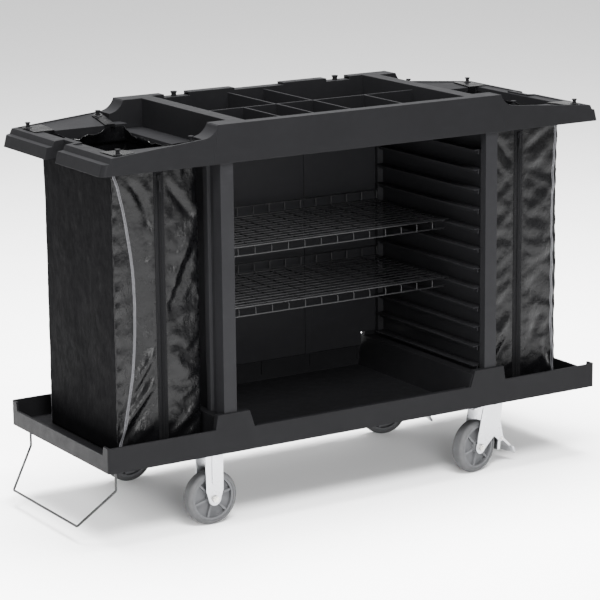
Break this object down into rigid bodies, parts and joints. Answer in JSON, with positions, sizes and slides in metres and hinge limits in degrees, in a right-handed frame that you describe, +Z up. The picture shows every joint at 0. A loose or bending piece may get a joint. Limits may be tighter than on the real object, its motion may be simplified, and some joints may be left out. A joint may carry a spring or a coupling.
{
  "type": "housekeeping cart",
  "caption": "Hotel housekeeping cart: open cabinet with wire shelves, organiser top, a zipped laundry bag at each end, fold-out wire holder and casters.",
  "frame": {"origin": "on the floor under the middle of the bounding box (the cart's own middle is 25 mm towards +X, because the folded-out wire holder sticks out at the -X end)", "axes": "+X along the cart towards the swivel casters, +Y from the open front to the closed back, +Z up"},
  "size_m": [1.574, 0.559, 1.0485],
  "materials": {
    "black_plastic": "satin, lightly textured moulding",
    "vinyl": "glossy vinyl-coated cloth",
    "zip_tape": "woven tape",
    "black_metal": "black lacquer",
    "black_wire": "black powder coat",
    "nickel": "nickel-plated",
    "zinc": "zinc-plated pressed steel",
    "tyre_rubber": "grey non-marking rubber",
    "grey_plastic": "grey moulded plastic"
  },
  "bodies": {
    "cart": {"base_deck": "black_plastic", "centre_tray": "black_plastic", "tray_pegs": "black_plastic", "back_panel_left": "black_plastic", "back_panel_centre": "black_plastic", "back_panel_right": "black_plastic", "back_joint_strips": "black_plastic", "holder_clips": "black_plastic", "left_side_panel": "black_plastic", "left_shelf_runners": "black_plastic", "left_wing": "black_plastic", "left_bag_pegs": "black_plastic", "left_bag": "vinyl", "left_bag_eyelets": "nickel", "left_zip_tape": "zip_tape", "right_side_panel": "black_plastic", "right_shelf_runners": "black_plastic", "right_wing": "black_plastic", "right_bag_pegs": "black_plastic", "right_bag": "vinyl", "right_bag_eyelets": "nickel", "right_zip_tape": "zip_tape", "front_left_mounting_bolts": "zinc", "front_left_fork": "zinc", "front_left_axle_bolt": "zinc", "rear_left_mounting_bolts": "zinc", "rear_left_fork": "zinc", "rear_left_axle_bolt": "zinc", "front_right_mounting_bolts": "zinc", "front_right_plate": "zinc", "front_right_race": "zinc", "front_right_kingpin": "zinc", "rear_right_mounting_bolts": "zinc", "rear_right_plate": "zinc", "rear_right_race": "zinc", "rear_right_kingpin": "zinc"},
    "front_left_wheel": {"front_left_wheel_hub": "grey_plastic", "front_left_tyre": "tyre_rubber"},
    "rear_left_wheel": {"rear_left_wheel_hub": "grey_plastic", "rear_left_tyre": "tyre_rubber"},
    "front_right_caster": {"front_right_swivel_fork": "zinc", "front_right_dust_ring": "grey_plastic", "front_right_axle_bolt": "zinc", "front_right_brake_pin": "zinc"},
    "front_right_pedal": {"front_right_brake_pedal": "zinc"},
    "front_right_wheel": {"front_right_wheel_hub": "grey_plastic", "front_right_tyre": "tyre_rubber"},
    "rear_right_caster": {"rear_right_swivel_fork": "zinc", "rear_right_dust_ring": "grey_plastic", "rear_right_axle_bolt": "zinc", "rear_right_brake_pin": "zinc"},
    "rear_right_pedal": {"rear_right_brake_pedal": "zinc"},
    "rear_right_wheel": {"rear_right_wheel_hub": "grey_plastic", "rear_right_tyre": "tyre_rubber"},
    "holder": {"holder_wire": "black_wire"},
    "upper_shelf": {"upper_wire_shelf": "black_wire"},
    "lower_shelf": {"lower_wire_shelf": "black_wire"},
    "left_slider": {"left_zip_slider": "black_metal"},
    "right_slider": {"right_zip_slider": "black_metal"}
  },
  "joints": [
    {"name": "front_left_wheel_spin", "type": "hinge", "parent": "cart", "child": "front_left_wheel", "pos_m": [-0.421, -0.226, 0.072], "axis": [0, 1, 0], "continuous": true},
    {"name": "rear_left_wheel_spin", "type": "hinge", "parent": "cart", "child": "rear_left_wheel", "pos_m": [-0.421, 0.226, 0.072], "axis": [0, 1, 0], "continuous": true},
    {"name": "front_right_swivel", "type": "hinge", "parent": "cart", "child": "front_right_caster", "pos_m": [0.466, -0.214, 0.186], "axis": [0, 0, 1], "continuous": true},
    {"name": "front_right_brake", "type": "hinge", "parent": "front_right_caster", "child": "front_right_pedal", "pos_m": [0.49621, -0.20703, 0.08], "axis": [-0.225, 0.9744, 0], "range_deg": [0, 12]},
    {"name": "front_right_wheel_spin", "type": "hinge", "parent": "front_right_caster", "child": "front_right_wheel", "pos_m": [0.41241, -0.22637, 0.072], "axis": [-0.225, 0.9744, 0], "continuous": true},
    {"name": "rear_right_swivel", "type": "hinge", "parent": "cart", "child": "rear_right_caster", "pos_m": [0.466, 0.214, 0.186], "axis": [0, 0, 1], "continuous": true},
    {"name": "rear_right_brake", "type": "hinge", "parent": "rear_right_caster", "child": "rear_right_pedal", "pos_m": [0.49621, 0.20703, 0.08], "axis": [0.225, 0.9744, 0], "range_deg": [0, 12]},
    {"name": "rear_right_wheel_spin", "type": "hinge", "parent": "rear_right_caster", "child": "rear_right_wheel", "pos_m": [0.41241, 0.22637, 0.072], "axis": [0.225, 0.9744, 0], "continuous": true},
    {"name": "holder_fold", "type": "hinge", "parent": "cart", "child": "holder", "pos_m": [-0.701, 0, 0.197], "axis": [0, -1, 0], "range_deg": [0, 90]},
    {"name": "upper_shelf_slide", "type": "slide", "parent": "cart", "child": "upper_shelf", "axis": [0, -1, 0], "range_m": [0, 0.15]},
    {"name": "lower_shelf_slide", "type": "slide", "parent": "cart", "child": "lower_shelf", "axis": [0, -1, 0], "range_m": [0, 0.15]},
    {"name": "left_zip_slide", "type": "slide", "parent": "cart", "child": "left_slider", "axis": [0, 0, -1], "range_m": [0, 0.62]},
    {"name": "right_zip_slide", "type": "slide", "parent": "cart", "child": "right_slider", "axis": [0, 0, -1], "range_m": [0, 0.62]}
  ]
}
